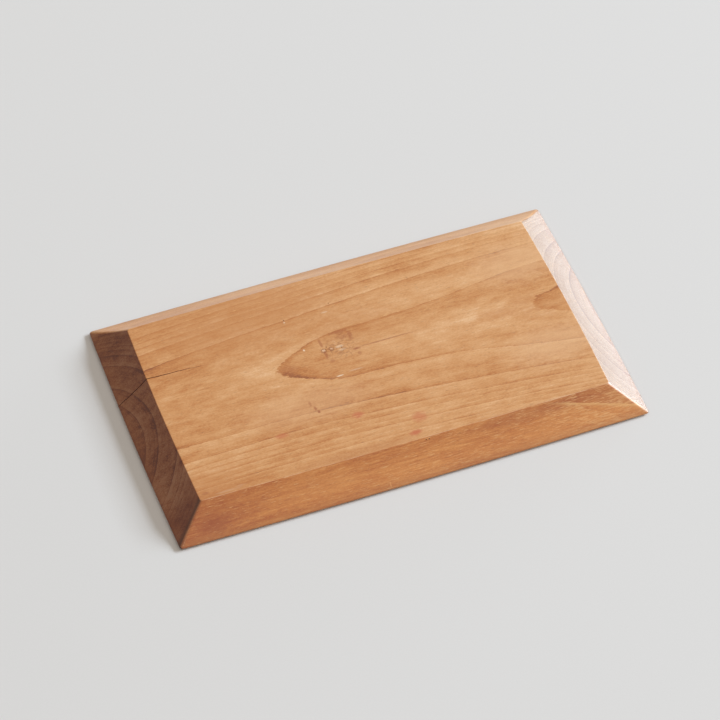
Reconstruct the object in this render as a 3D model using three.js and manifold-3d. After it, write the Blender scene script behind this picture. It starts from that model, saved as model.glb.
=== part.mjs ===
// Serving board: one solid plank with four hollow bevels, on four rubber feet let into its underside.
// Millimetres, +Z up. The origin lies on the table under the middle of the board, +X along its length.

import * as THREE from 'three';
import { mergeVertices } from 'three/addons/utils/BufferGeometryUtils.js';
import Module from 'manifold-3d';

// Plank
const LENGTH = 300; // overall, over the bowed ends
const WIDTH = 180; // overall, over the bowed sides
const THICKNESS = 16; // underside to top face
const END_BEVEL_RUN = 19.7; // plan distance from the end to where the flat top starts
const SIDE_BEVEL_RUN = 19;
const END_BOW = 1.1; // how far the middle of an end stands out past its corners
const SIDE_BOW = 0.85;
const END_HOLLOW = 0.4; // how far a bevel dips below a straight slope
const SIDE_HOLLOW = 0.6;
const RIM_RADIUS = 0.8; // eased lower edge
const ARRIS_RADIUS = 1; // eased edge round the top face
const CORNER_RADIUS = 1.8; // eased hips, seen in plan

// Feet
const FOOT_DIAMETER = 14;
const FOOT_END_INSET = 40; // foot's centre to the end of the board
const FOOT_SIDE_INSET = 33;
const FOOT_WEB = 1.6; // rubber between the washer and the wood
const FOOT_EDGE_RADIUS = 0.5; // rounded lower edge
const STAND_OFF = 0.8; // table to underside
const SEAT_CLEARANCE = 0.3; // all round the foot

// Washers and screws
const WASHER_DIAMETER = 7;
const WASHER_THICKNESS = 0.5;
const SCREW_DIAMETER = 2.8;
const SCREW_LENGTH = 9.5; // below the head
const SCREW_TIP_LENGTH = 2.4;
const HEAD_DIAMETER = 5.6;
const HEAD_HEIGHT = 1.4;
const HEAD_RIM = 0.5; // straight edge of the pan head
const HEAD_RECESS = 0.4; // table to the head
const DRIVE_WIDTH = 0.7; // cross recess
const DRIVE_SPAN = 2.9;
const DRIVE_DEPTH = 0.8;
const HOLE_CLEARANCE = 0.3; // all round the screw, the washer and the head
const TIP_CLEARANCE = 0.5; // above the screw's tip

// Fineness of the curves
const END_STEPS = 6; // from the middle of an end to its corner
const SIDE_STEPS = 10;
const CORNER_STEPS = 4;
const ARC_STEPS = 4;
const BEVEL_STEPS = 6;
const FOOT_SEGMENTS = 32;
const SCREW_SEGMENTS = 24;
const CUT_MARGIN = 1; // how far a cutter starts outside the solid
const WELD_TOLERANCE = 1e-5;

// Sizes that follow
const BORE_DEPTH = HEAD_RECESS + HEAD_HEIGHT + WASHER_THICKNESS; // foot's recess for washer and head
const FOOT_HEIGHT = BORE_DEPTH + FOOT_WEB;
const BORE_RADIUS = Math.max(WASHER_DIAMETER, HEAD_DIAMETER) / 2 + HOLE_CLEARANCE;
const HOLE_RADIUS = SCREW_DIAMETER / 2 + HOLE_CLEARANCE;
const HEAD_SEAT = HEAD_RECESS + HEAD_HEIGHT; // table to the washer's lower face
const PILOT_TOP = HEAD_SEAT + SCREW_LENGTH + TIP_CLEARANCE; // table to the end of the pilot hole
const FOOT_X = LENGTH / 2 - FOOT_END_INSET;
const FOOT_Y = WIDTH / 2 - FOOT_SIDE_INSET;

const wood = new THREE.MeshStandardMaterial({ color: 0xcf9a6b, roughness: 0.55, metalness: 0 });
const rubber = new THREE.MeshStandardMaterial({ color: 0x262523, roughness: 0.85, metalness: 0 });
const steel = new THREE.MeshStandardMaterial({ color: 0xb9bbbd, roughness: 0.35, metalness: 1 });

const wasm = await Module();
wasm.setup();

// Solids for cutting

function toSolid(geometry) {
  const bare = geometry.clone();
  bare.deleteAttribute('normal');
  bare.deleteAttribute('uv');
  const welded = mergeVertices(bare, WELD_TOLERANCE);
  const corners = welded.index.array;
  const triangles = [];
  for (let i = 0; i < corners.length; i += 3) {
    const [a, b, c] = corners.slice(i, i + 3);
    if (a !== b && b !== c && c !== a) triangles.push(a, b, c);
  }
  const mesh = new wasm.Mesh({
    numProp: 3,
    vertProperties: welded.attributes.position.array,
    triVerts: Uint32Array.from(triangles),
  });
  return new wasm.Manifold(mesh);
}

function toGeometry(solid) {
  const mesh = solid.getMesh();
  const geometry = new THREE.BufferGeometry();
  geometry.setAttribute('position', new THREE.BufferAttribute(mesh.vertProperties, 3));
  geometry.setIndex(new THREE.BufferAttribute(mesh.triVerts, 1));
  geometry.computeVertexNormals();
  return geometry;
}

// Round pieces: a profile of (radius, height) pairs turned about the Z axis

function turned(profile, segments) {
  const points = profile.map(([radius, height]) => new THREE.Vector2(radius, height));
  return new THREE.LatheGeometry(points, segments).rotateX(Math.PI / 2);
}

// Plank: sections of one bowed outline, lofted through the profile of the bevels

// Profile of one bevel as (inset, height): round the lower rim, up the hollow slope, over the arris.
// The slope is a parabola: its middle dips by half of its control point, and its ends lean to suit.
function bevelProfile(run, hollow) {
  const rimCentre = new THREE.Vector2(RIM_RADIUS, RIM_RADIUS);
  const arrisCentre = new THREE.Vector2(run, THICKNESS - ARRIS_RADIUS);
  const across = arrisCentre.clone().sub(rimCentre);
  const slope = across.angle() - Math.asin((RIM_RADIUS - ARRIS_RADIUS) / across.length());
  const controlDip = 2 * hollow;
  const lean = Math.atan(controlDip / (across.length() / 2));
  const up = Math.PI / 2;
  const out = Math.PI;
  const down = up + out;
  const underRim = arc(rimCentre, RIM_RADIUS, down, out);
  const overRim = arc(rimCentre, RIM_RADIUS, out, up + slope - lean);
  const arris = arc(arrisCentre, ARRIS_RADIUS, up + slope + lean, up);
  const bottom = overRim.at(-1);
  const top = arris[0];
  const dip = new THREE.Vector2(Math.sin(slope), -Math.cos(slope)).multiplyScalar(controlDip);
  const control = bottom.clone().add(top).divideScalar(2).add(dip);
  const face = new THREE.QuadraticBezierCurve(bottom, control, top).getPoints(BEVEL_STEPS);
  return [...underRim, ...overRim.slice(1), ...face.slice(1, -1), ...arris];
}

function arc(centre, radius, start, end) {
  return new THREE.EllipseCurve(centre.x, centre.y, radius, radius, start, end, true).getPoints(ARC_STEPS);
}

// Outline of one section, counter-clockwise from above, from the bevels' points at the ends and sides
function sectionOutline(end, side) {
  const cornerX = LENGTH / 2 - END_BOW - end.x;
  const cornerY = WIDTH / 2 - SIDE_BOW - side.x;
  const straightX = cornerX - CORNER_RADIUS;
  const straightY = cornerY - CORNER_RADIUS;
  const quarter = [];
  for (let i = 0; i < END_STEPS; i++) {
    const t = i / END_STEPS;
    quarter.push(new THREE.Vector3(cornerX + END_BOW * (1 - t * t), t * straightY, end.y));
  }
  for (let i = 0; i <= CORNER_STEPS; i++) {
    const t = i / CORNER_STEPS;
    const angle = (t * Math.PI) / 2;
    const x = straightX + CORNER_RADIUS * Math.cos(angle);
    const y = straightY + CORNER_RADIUS * Math.sin(angle);
    quarter.push(new THREE.Vector3(x, y, THREE.MathUtils.lerp(end.y, side.y, t)));
  }
  for (let i = SIDE_STEPS - 1; i >= 0; i--) {
    const t = i / SIDE_STEPS;
    quarter.push(new THREE.Vector3(t * straightX, cornerY + SIDE_BOW * (1 - t * t), side.y));
  }
  const mirrored = quarter.map((p) => new THREE.Vector3(-p.x, p.y, p.z)).reverse();
  const half = [...quarter, ...mirrored.slice(1, -1)];
  return [...half, ...half.map((p) => new THREE.Vector3(-p.x, -p.y, p.z))];
}

// Closed skin over outlines of equal length, lowest first
function loft(outlines) {
  const count = outlines[0].length;
  const triangles = [];
  for (let level = 0; level + 1 < outlines.length; level++) {
    for (let i = 0; i < count; i++) {
      const a = level * count + i;
      const b = level * count + ((i + 1) % count);
      triangles.push(a, b, b + count, a, b + count, a + count);
    }
  }
  const cap = THREE.ShapeUtils.triangulateShape(outlines[0], []);
  const topStart = (outlines.length - 1) * count;
  cap.forEach(([a, b, c]) => triangles.push(a, c, b, topStart + a, topStart + b, topStart + c));
  const geometry = new THREE.BufferGeometry().setFromPoints(outlines.flat());
  geometry.setIndex(triangles);
  return geometry;
}

// Round seat for a foot and the pilot hole above it, as one stepped cutter standing on the table
function seatCutter() {
  const seatRadius = FOOT_DIAMETER / 2 + SEAT_CLEARANCE;
  const profile = [
    [0, -CUT_MARGIN],
    [seatRadius, -CUT_MARGIN],
    [seatRadius, FOOT_HEIGHT],
    [HOLE_RADIUS, FOOT_HEIGHT],
    [HOLE_RADIUS, PILOT_TOP],
    [0, PILOT_TOP],
  ];
  return toSolid(turned(profile, FOOT_SEGMENTS));
}

function boardGeometry() {
  const ends = bevelProfile(END_BEVEL_RUN, END_HOLLOW);
  const sides = bevelProfile(SIDE_BEVEL_RUN, SIDE_HOLLOW);
  const plank = loft(ends.map((end, i) => sectionOutline(end, sides[i]))).translate(0, 0, STAND_OFF);
  let solid = toSolid(plank);
  for (const { x, y } of footPlaces()) {
    solid = solid.subtract(seatCutter().translate([x, y, 0]));
  }
  return toGeometry(solid);
}

// Feet: each is a rubber disc with a recess for the washer and the screw's head

function footPlaces() {
  const places = [];
  for (const [end, x] of [['left', -FOOT_X], ['right', FOOT_X]]) {
    for (const [side, y] of [['front', -FOOT_Y], ['back', FOOT_Y]]) {
      places.push({ name: `${side}_${end}`, x, y });
    }
  }
  return places;
}

function footGeometry() {
  const radius = FOOT_DIAMETER / 2;
  const centre = new THREE.Vector2(radius - FOOT_EDGE_RADIUS, FOOT_EDGE_RADIUS);
  const edge = arc(centre, FOOT_EDGE_RADIUS, 0, -Math.PI / 2).reverse();
  const profile = [
    [BORE_RADIUS, 0],
    ...edge.map((p) => [p.x, p.y]),
    [radius, FOOT_HEIGHT],
    [HOLE_RADIUS, FOOT_HEIGHT],
    [HOLE_RADIUS, BORE_DEPTH],
    [BORE_RADIUS, BORE_DEPTH],
    [BORE_RADIUS, 0],
  ];
  return turned(profile, FOOT_SEGMENTS);
}

function washerGeometry() {
  const radius = WASHER_DIAMETER / 2;
  const profile = [
    [HOLE_RADIUS, HEAD_SEAT],
    [radius, HEAD_SEAT],
    [radius, BORE_DEPTH],
    [HOLE_RADIUS, BORE_DEPTH],
    [HOLE_RADIUS, HEAD_SEAT],
  ];
  return turned(profile, SCREW_SEGMENTS);
}

// Pan-head screw, point up, with a cross recess in the domed head
function screwGeometry() {
  const headRadius = HEAD_DIAMETER / 2;
  const shankRadius = SCREW_DIAMETER / 2;
  const crown = new THREE.Vector2(0, HEAD_RECESS);
  const shoulder = new THREE.Vector2(headRadius, HEAD_RECESS);
  const rim = new THREE.Vector2(headRadius, HEAD_SEAT - HEAD_RIM);
  const dome = new THREE.QuadraticBezierCurve(crown, shoulder, rim).getPoints(ARC_STEPS);
  const profile = [
    ...dome.map((p) => [p.x, p.y]),
    [headRadius, HEAD_SEAT],
    [shankRadius, HEAD_SEAT],
    [shankRadius, HEAD_SEAT + SCREW_LENGTH - SCREW_TIP_LENGTH],
    [0, HEAD_SEAT + SCREW_LENGTH],
  ];
  const height = DRIVE_DEPTH + CUT_MARGIN;
  const middle = HEAD_RECESS + DRIVE_DEPTH - height / 2;
  const slotX = new THREE.BoxGeometry(DRIVE_SPAN, DRIVE_WIDTH, height).translate(0, 0, middle);
  const slotY = new THREE.BoxGeometry(DRIVE_WIDTH, DRIVE_SPAN, height).translate(0, 0, middle);
  const drive = toSolid(slotX).add(toSolid(slotY));
  return toGeometry(toSolid(turned(profile, SCREW_SEGMENTS)).subtract(drive));
}

// Assembly

function piece(name, geometry, material) {
  const mesh = new THREE.Mesh(geometry, material);
  mesh.name = name;
  return mesh;
}

function footAssembly({ name, x, y }) {
  const group = new THREE.Group();
  group.add(piece(`foot_${name}`, footGeometry(), rubber));
  group.add(piece(`foot_washer_${name}`, washerGeometry(), steel));
  group.add(piece(`foot_screw_${name}`, screwGeometry(), steel));
  group.position.set(x, y, 0);
  return group;
}

const board = new THREE.Group();
board.add(piece('board', boardGeometry(), wood));
footPlaces().forEach((place) => board.add(footAssembly(place)));

export default board;
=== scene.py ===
"""Looks of a bevelled serving board: one flat-sawn plank on four screwed rubber feet. Metres, +Z up."""
import math

import bpy
import bmesh
import numpy as np
from mathutils import Color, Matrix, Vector, noise


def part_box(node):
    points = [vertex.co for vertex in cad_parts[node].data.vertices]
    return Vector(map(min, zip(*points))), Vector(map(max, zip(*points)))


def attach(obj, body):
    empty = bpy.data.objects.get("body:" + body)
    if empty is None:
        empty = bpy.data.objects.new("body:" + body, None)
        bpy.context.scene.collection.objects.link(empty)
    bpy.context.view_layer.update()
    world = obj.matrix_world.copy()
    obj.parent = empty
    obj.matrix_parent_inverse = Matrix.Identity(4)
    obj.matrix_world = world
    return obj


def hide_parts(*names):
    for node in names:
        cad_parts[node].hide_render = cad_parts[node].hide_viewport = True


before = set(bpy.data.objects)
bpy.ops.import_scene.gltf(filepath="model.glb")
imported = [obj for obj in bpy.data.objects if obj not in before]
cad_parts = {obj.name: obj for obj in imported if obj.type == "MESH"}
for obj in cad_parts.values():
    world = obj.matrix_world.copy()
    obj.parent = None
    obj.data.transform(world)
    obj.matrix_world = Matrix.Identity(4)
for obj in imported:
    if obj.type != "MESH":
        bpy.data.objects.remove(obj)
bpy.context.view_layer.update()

# Plank, as in the frame
BOARD_LOW, BOARD_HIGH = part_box("board")
LENGTH = BOARD_HIGH.x - BOARD_LOW.x
WIDTH = BOARD_HIGH.y - BOARD_LOW.y
THICKNESS = BOARD_HIGH.z - BOARD_LOW.z
STAND_OFF = BOARD_LOW.z
TOP = BOARD_HIGH.z
END_BEVEL_RUN = 0.0197
SIDE_BEVEL_RUN = 0.019
END_BOW = 0.0011
SIDE_BOW = 0.00085
END_HOLLOW = 0.0004
SIDE_HOLLOW = 0.0006
RIM_RADIUS = 0.0008
ARRIS_RADIUS = 0.001
CORNER_RADIUS = 0.0018
HAND_WOBBLE = 0.00012  # how far hand sanding strays from the true faces
WOBBLE_LENGTH = 0.035
WOBBLE_SEED = 5  # keeps the sanding the same each run

# Feet and fasteners, as in the frame
FEET = ("front_left", "front_right", "back_left", "back_right")
CLEARANCE = 0.0003
FOOT_EDGE_RADIUS = 0.0005
SCREW_RADIUS = 0.0014
SCREW_CORE = 0.0012
SCREW_TIP = 0.0024
HEAD_RIM = 0.0005
HOLE_RADIUS = SCREW_RADIUS + CLEARANCE
THREAD_PITCH = 0.0011
THREAD_DEPTH = 0.0004
THREAD_HALF_WIDTH = 0.3  # of a pitch
THREAD_START = 2  # pitches of plain shank under the head
THREAD_TAPER = 0.5  # the ridge follows this power of the core's taper
DRIVE_SPAN = 0.0029
DRIVE_WIDTH = 0.0007
DRIVE_DEPTH = 0.0008
DRIVE_TAPER = 0.6
WASHER_EDGE = 0.00012

# Marks in the plank, from the middle of the board
CHECK_START = (-0.1505, 0.0261)  # drying check in the left end
CHECK_EDGE = (-0.1305, 0.029)
CHECK_TIP = (-0.0965, 0.0275)
CHECK_WIDTH = 0.0007
CHECK_WIGGLE = 0.0004
CHECK_WIGGLE_LENGTH = 0.006
CHECK_TAPER = 0.85
CHECK_RISE = 1.5  # its floor rises to the tip by this power
PIT_RADIUS = 0.0004
TOP_PITS = ((-0.0072, 0.048), (-0.0376, 0.0443), (-0.0205, 0.0152), (-0.0118, 0.0117))
FRONT_PITS = (0.0109, 0.0129)  # along the front bevel, near its top
FRONT_PIT_SHARE = 0.93  # of the way up the bevel

# Fineness of the meshes
END_STEPS = 40
SIDE_STEPS = 64
CORNER_STEPS = 10
ARC_STEPS = 8
BEVEL_STEPS = 20
FLAT_STEPS = 30
ROUND_STEPS = 96
PIT_STEPS = 16
CHECK_STEPS = 24
THREAD_ROWS = 8  # to a pitch
CUT_MARGIN = 0.001
WELD = 1e-7
SMOOTH_ANGLE = math.radians(32)

# Camera, solved from the edges of the board
VIEW_AZIMUTH = math.radians(-20.3)
VIEW_ELEVATION = math.radians(49.7)
VIEW_DISTANCE = 2.089
VIEW_AIM = Vector((-0.00029, 0.0105, STAND_OFF + RIM_RADIUS))
VIEW_LENS = 171
VIEW_SENSOR = 36


# Meshes

def new_piece(name, verts, faces):
    """A mesh object in the row frame."""
    mesh = bpy.data.meshes.new(name)
    mesh.from_pydata([tuple(v) for v in verts], [], faces)
    piece = bpy.data.objects.new(name, mesh)
    bpy.context.scene.collection.objects.link(piece)
    return piece


def weld(piece):
    """Joins doubled points, drops what collapses and turns the faces outward."""
    shape = bmesh.new()
    shape.from_mesh(piece.data)
    bmesh.ops.remove_doubles(shape, verts=shape.verts, dist=WELD)
    bmesh.ops.dissolve_degenerate(shape, edges=shape.edges, dist=WELD)
    bmesh.ops.recalc_face_normals(shape, faces=shape.faces)
    shape.to_mesh(piece.data)
    shape.free()


def settle(piece):
    """Applies a piece's modifiers to its mesh."""
    graph = bpy.context.evaluated_depsgraph_get()
    mesh = bpy.data.meshes.new_from_object(piece.evaluated_get(graph))
    old = piece.data
    piece.modifiers.clear()
    piece.data = mesh
    bpy.data.meshes.remove(old)


def cut(piece, cutter):
    """Takes a closed mesh out of a piece."""
    change = piece.modifiers.new("cut", "BOOLEAN")
    change.operation = "DIFFERENCE"
    change.solver = "EXACT"
    change.object = cutter
    settle(piece)
    bpy.data.objects.remove(cutter)


def smooth(piece):
    """Smooth faces with crisp edges."""
    piece.data.shade_smooth()
    piece.data.set_sharp_from_angle(angle=SMOOTH_ANGLE)


def rings_to_mesh(rings):
    """Points and faces of a skin over rings of equal length."""
    count = len(rings[0])
    verts = np.concatenate(rings)
    faces = []
    for level in range(len(rings) - 1):
        for i in range(count):
            a = level * count + i
            b = level * count + (i + 1) % count
            faces.append((a, b, b + count, a + count))
    return verts, faces


def capped(rings):
    """Points and faces of a skin over rings, with a face at each end."""
    verts, faces = rings_to_mesh(rings)
    count = len(rings[0])
    first = tuple(range(count))[::-1]
    last = tuple(range(len(verts) - count, len(verts)))
    return verts, [*faces, first, last]


def ring(radius, height, centre=(0, 0)):
    """A level circle of points. The radius may be one number or one for each point."""
    angle = np.linspace(0, 2 * math.pi, ROUND_STEPS, endpoint=False)
    radius = np.broadcast_to(radius, angle.shape)
    return np.stack(
        [
            centre[0] + radius * np.cos(angle),
            centre[1] + radius * np.sin(angle),
            np.full(ROUND_STEPS, height),
        ],
        axis=-1,
    )


def turned(name, profile, centre):
    """A round piece from (radius, height) pairs."""
    piece = new_piece(name, *rings_to_mesh([ring(r, z, centre) for r, z in profile]))
    weld(piece)
    return piece


def arc(centre, radius, start, end, steps=ARC_STEPS):
    """Points of an arc, as pairs."""
    angles = np.linspace(start, end, steps + 1)
    return [(centre[0] + radius * math.cos(a), centre[1] + radius * math.sin(a)) for a in angles]


def shape_to_piece(name, shape):
    """A mesh object of a working shape, which is freed."""
    mesh = bpy.data.meshes.new(name)
    shape.to_mesh(mesh)
    shape.free()
    piece = bpy.data.objects.new(name, mesh)
    bpy.context.scene.collection.objects.link(piece)
    return piece


def joined(name, parts):
    """One mesh of several pieces."""
    shape = bmesh.new()
    for part in parts:
        shape.from_mesh(part.data)
        bpy.data.objects.remove(part)
    return shape_to_piece(name, shape)


# Plank

def bevel_profile(run, hollow):
    """(inset, height) pairs: round the lower rim, up the hollow slope and over the arris."""
    rim_centre = np.array([RIM_RADIUS, RIM_RADIUS])
    arris_centre = np.array([run, THICKNESS - ARRIS_RADIUS])
    across = arris_centre - rim_centre
    span = np.hypot(*across)
    slope = math.atan2(across[1], across[0]) - math.asin((RIM_RADIUS - ARRIS_RADIUS) / span)
    lean = math.atan(4 * hollow / span)
    up, out = math.pi / 2, math.pi
    rim = arc(rim_centre, RIM_RADIUS, up + out, up + slope - lean, 2 * ARC_STEPS)
    arris = arc(arris_centre, ARRIS_RADIUS, up + slope + lean, up)
    bottom, top = np.array(rim[-1]), np.array(arris[0])
    dip = hollow * np.array([math.sin(slope), -math.cos(slope)])
    shares = np.linspace(0, 1, BEVEL_STEPS + 1)[1:-1]
    face = [bottom + t * (top - bottom) + 4 * t * (1 - t) * dip for t in shares]
    return np.array([*rim, *face, *arris])


def section_outline(end, side):
    """Bowed outline of one level, from the (inset, height) of the end and side bevels there."""
    corner_x = LENGTH / 2 - END_BOW - end[0]
    corner_y = WIDTH / 2 - SIDE_BOW - side[0]
    straight_x = corner_x - CORNER_RADIUS
    straight_y = corner_y - CORNER_RADIUS
    quarter = []
    for t in np.linspace(0, 1, END_STEPS, endpoint=False):
        quarter.append((corner_x + END_BOW * (1 - t * t), t * straight_y, end[1]))
    for t in np.linspace(0, 1, CORNER_STEPS + 1):
        x = straight_x + CORNER_RADIUS * math.cos(t * math.pi / 2)
        y = straight_y + CORNER_RADIUS * math.sin(t * math.pi / 2)
        quarter.append((x, y, end[1] + t * (side[1] - end[1])))
    for t in np.linspace(1, 0, SIDE_STEPS + 1)[1:]:
        quarter.append((t * straight_x, corner_y + SIDE_BOW * (1 - t * t), side[1]))
    quarter = np.array(quarter) + (0, 0, STAND_OFF)
    mirrored = (quarter * (-1, 1, 1))[::-1][1:-1]
    half = np.concatenate([quarter, mirrored])
    return np.concatenate([half, half * (-1, -1, 1)])


def flat_fill(outline):
    """Rings that run from an outline in to the spine of its flat face."""
    spine = outline[:, 0].max() - outline[:, 1].max()
    target = outline.copy()
    target[:, 0] = np.clip(outline[:, 0], -spine, spine)
    target[:, 1] = 0
    return [outline + t * (target - outline) for t in np.linspace(0, 1, FLAT_STEPS + 1)[1:]]


def sanded(point):
    """A point as hand sanding leaves it. The underside stays true."""
    rise = min(1, (point[2] - STAND_OFF) / THICKNESS)
    drift = noise.noise_vector(Vector(point) / WOBBLE_LENGTH) * HAND_WOBBLE * rise
    return (point[0] + drift.x, point[1] + drift.y, point[2] + min(0, drift.z))


def plank():
    """The board, with its seats, drying check and pits."""
    ends = bevel_profile(END_BEVEL_RUN, END_HOLLOW)
    sides = bevel_profile(SIDE_BEVEL_RUN, SIDE_HOLLOW)
    edge = [section_outline(end, side) for end, side in zip(ends, sides)]
    rings = [*flat_fill(edge[0])[::-1], *edge, *flat_fill(edge[-1])]
    verts, faces = rings_to_mesh(rings)
    noise.seed_set(WOBBLE_SEED)
    piece = new_piece("bevelled_plank", [sanded(v) for v in verts], faces)
    weld(piece)
    cutters = [seat_cutter(foot) for foot in FEET]
    cutters += [check_cutter()]
    cutters += [pit_cutter(Vector((x, y, TOP))) for x, y in TOP_PITS]
    cutters += [pit_cutter(front_bevel_point(x, FRONT_PIT_SHARE)) for x in FRONT_PITS]
    cut(piece, joined("cutters", cutters))
    weld(piece)
    smooth(piece)
    return piece


def front_bevel_point(x, share):
    """A point on the front bevel, a share of the way from the rim to the arris."""
    profile = bevel_profile(SIDE_BEVEL_RUN, SIDE_HOLLOW)
    inset = np.interp(share * THICKNESS, profile[:, 1], profile[:, 0])
    along = 2 * x / LENGTH
    y = -(WIDTH / 2 - SIDE_BOW * along * along - inset)
    return Vector((x, y, STAND_OFF + share * THICKNESS))


def foot_centre(foot):
    """The middle of a foot's box."""
    low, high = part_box("foot_" + foot)
    return (low + high) / 2


def seat_cutter(foot):
    """The round seat of a foot and the pilot hole above it."""
    low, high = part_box("foot_" + foot)
    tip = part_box("foot_screw_" + foot)[1].z
    radius = (high.x - low.x) / 2 + CLEARANCE
    profile = [
        (0, -CUT_MARGIN),
        (radius, -CUT_MARGIN),
        (radius, high.z),
        (HOLE_RADIUS, high.z),
        (HOLE_RADIUS, tip + CUT_MARGIN / 2),
        (0, tip + CUT_MARGIN / 2),
    ]
    return turned("seat", profile, foot_centre(foot))


def pit_cutter(point):
    """A small round hollow, centred on a point of the surface."""
    shape = bmesh.new()
    bmesh.ops.create_uvsphere(shape, u_segments=PIT_STEPS, v_segments=PIT_STEPS // 2, radius=1)
    bmesh.ops.scale(shape, vec=(PIT_RADIUS,) * 3, verts=shape.verts)
    bmesh.ops.translate(shape, vec=point, verts=shape.verts)
    return shape_to_piece("pit", shape)


def check_cutter():
    """A thin split that enters the left end and runs out in the top face."""
    rings = []
    for s in np.linspace(0, 1, CHECK_STEPS):
        x = CHECK_START[0] - CUT_MARGIN + s * (CHECK_TIP[0] - CHECK_START[0] + CUT_MARGIN)
        y = np.interp(x, *zip(CHECK_START, CHECK_EDGE, CHECK_TIP))
        y += CHECK_WIGGLE * noise.noise(Vector((x / CHECK_WIGGLE_LENGTH, 0, 0)))
        half = CHECK_WIDTH / 2 * (1 - CHECK_TAPER * s)
        open_to = TOP + CUT_MARGIN
        deep_to = STAND_OFF - CUT_MARGIN + (TOP - STAND_OFF) * s ** CHECK_RISE
        corners = [
            (x, y - half, open_to),
            (x, y - half / 2, deep_to),
            (x, y + half / 2, deep_to),
            (x, y + half, open_to),
        ]
        rings.append(np.array(corners))
    piece = new_piece("check", *capped(rings))
    weld(piece)
    return piece


# Feet, washers and screws

def rubber_foot(foot):
    """A low disc with soft edges and a recess for the washer and the screw's head."""
    low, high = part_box("foot_" + foot)
    washer_low, washer_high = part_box("foot_washer_" + foot)
    radius = (high.x - low.x) / 2
    bore = (washer_high.x - washer_low.x) / 2 + CLEARANCE
    soft = FOOT_EDGE_RADIUS
    lip = soft / 2
    profile = [
        *arc((bore + lip, lip), lip, math.pi, 1.5 * math.pi),
        *arc((radius - soft, soft), soft, -math.pi / 2, 0),
        *arc((radius - lip, high.z - lip), lip, 0, math.pi / 2),
        (HOLE_RADIUS, high.z),
        (HOLE_RADIUS, washer_high.z),
        (bore, washer_high.z),
        (bore, lip),
    ]
    piece = turned("rubber_foot_" + foot, profile, foot_centre(foot))
    smooth(piece)
    return piece


def steel_washer(foot):
    """A flat ring with an eased outer edge."""
    low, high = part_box("foot_washer_" + foot)
    radius = (high.x - low.x) / 2
    edge = WASHER_EDGE
    profile = [
        (HOLE_RADIUS, low.z),
        *arc((radius - edge, low.z + edge), edge, -math.pi / 2, 0),
        *arc((radius - edge, high.z - edge), edge, 0, math.pi / 2),
        (HOLE_RADIUS, high.z),
        (HOLE_RADIUS, low.z),
    ]
    piece = turned("steel_washer_" + foot, profile, foot_centre(foot))
    smooth(piece)
    return piece


def thread_radius(height, base, tip):
    """Radii round a screw's shank: the core, and one ridge that climbs a pitch each turn."""
    turn = np.linspace(0, 1, ROUND_STEPS, endpoint=False)
    taper = min(1, (tip - height) / SCREW_TIP)
    start = min(1, max(0, (height - base) / THREAD_PITCH - THREAD_START))
    phase = ((height - base) / THREAD_PITCH - turn) % 1
    ridge = np.clip(1 - np.abs(phase - 0.5) / THREAD_HALF_WIDTH, 0, 1)
    return taper * SCREW_CORE + taper ** THREAD_TAPER * start * THREAD_DEPTH * ridge


def pan_screw(foot):
    """A screw with a domed head, a cross in it and a thread."""
    low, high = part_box("foot_screw_" + foot)
    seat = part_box("foot_washer_" + foot)[0].z
    radius = (high.x - low.x) / 2
    centre = foot_centre(foot)
    rings = []
    for t in np.linspace(0, 1, 2 * ARC_STEPS + 1):
        dome_radius = radius * (2 * t - t * t)
        dome_height = low.z + (seat - HEAD_RIM - low.z) * t * t
        rings.append(ring(dome_radius, dome_height, centre))
    rings.append(ring(radius, seat, centre))
    rows = round((high.z - seat) / THREAD_PITCH * THREAD_ROWS)
    for height in np.linspace(seat, high.z, rows):
        rings.append(ring(thread_radius(height, seat, high.z), height, centre))
    piece = new_piece("pan_screw_" + foot, *rings_to_mesh(rings))
    weld(piece)
    cut(piece, drive_cutter(centre, low.z))
    weld(piece)
    smooth(piece)
    return piece


def drive_cutter(centre, bottom):
    """A cross that narrows towards its floor."""
    arm, half = DRIVE_SPAN / 2, DRIVE_WIDTH / 2
    cross = [(arm, -half), (arm, half), (half, half), (half, arm), (-half, arm), (-half, half)]
    cross += [(-x, -y) for x, y in cross]
    rings = []
    for depth, size in ((-CUT_MARGIN, 1), (0, 1), (DRIVE_DEPTH, DRIVE_TAPER)):
        points = [(centre.x + size * x, centre.y + size * y, bottom + depth) for x, y in cross]
        rings.append(np.array(points))
    piece = new_piece("drive", *capped(rings))
    weld(piece)
    return piece


# Node trees

FULL_LEVEL = 255  # of a colour as it shows
MM = 1000  # to a metre
MIX_SHARE, MIX_FIRST, MIX_SECOND, MIX_RESULT = 0, 6, 7, 2  # sockets of a mix node that mixes colours
NOISE_DETAIL = 2.0  # a plain noise's octaves
NOISE_ROUGHNESS = 0.5
NOISE_MIDDLE = 0.5
NOISE_RANGE = (0.3, 0.7)  # where nearly all of a noise lies


def linear(red, green, blue):
    """A colour given in 0 to 255 as it shows, as the renderer's linear values."""
    shown = Color((red / FULL_LEVEL, green / FULL_LEVEL, blue / FULL_LEVEL))
    return (*shown.from_srgb_to_scene_linear(), 1)


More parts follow.
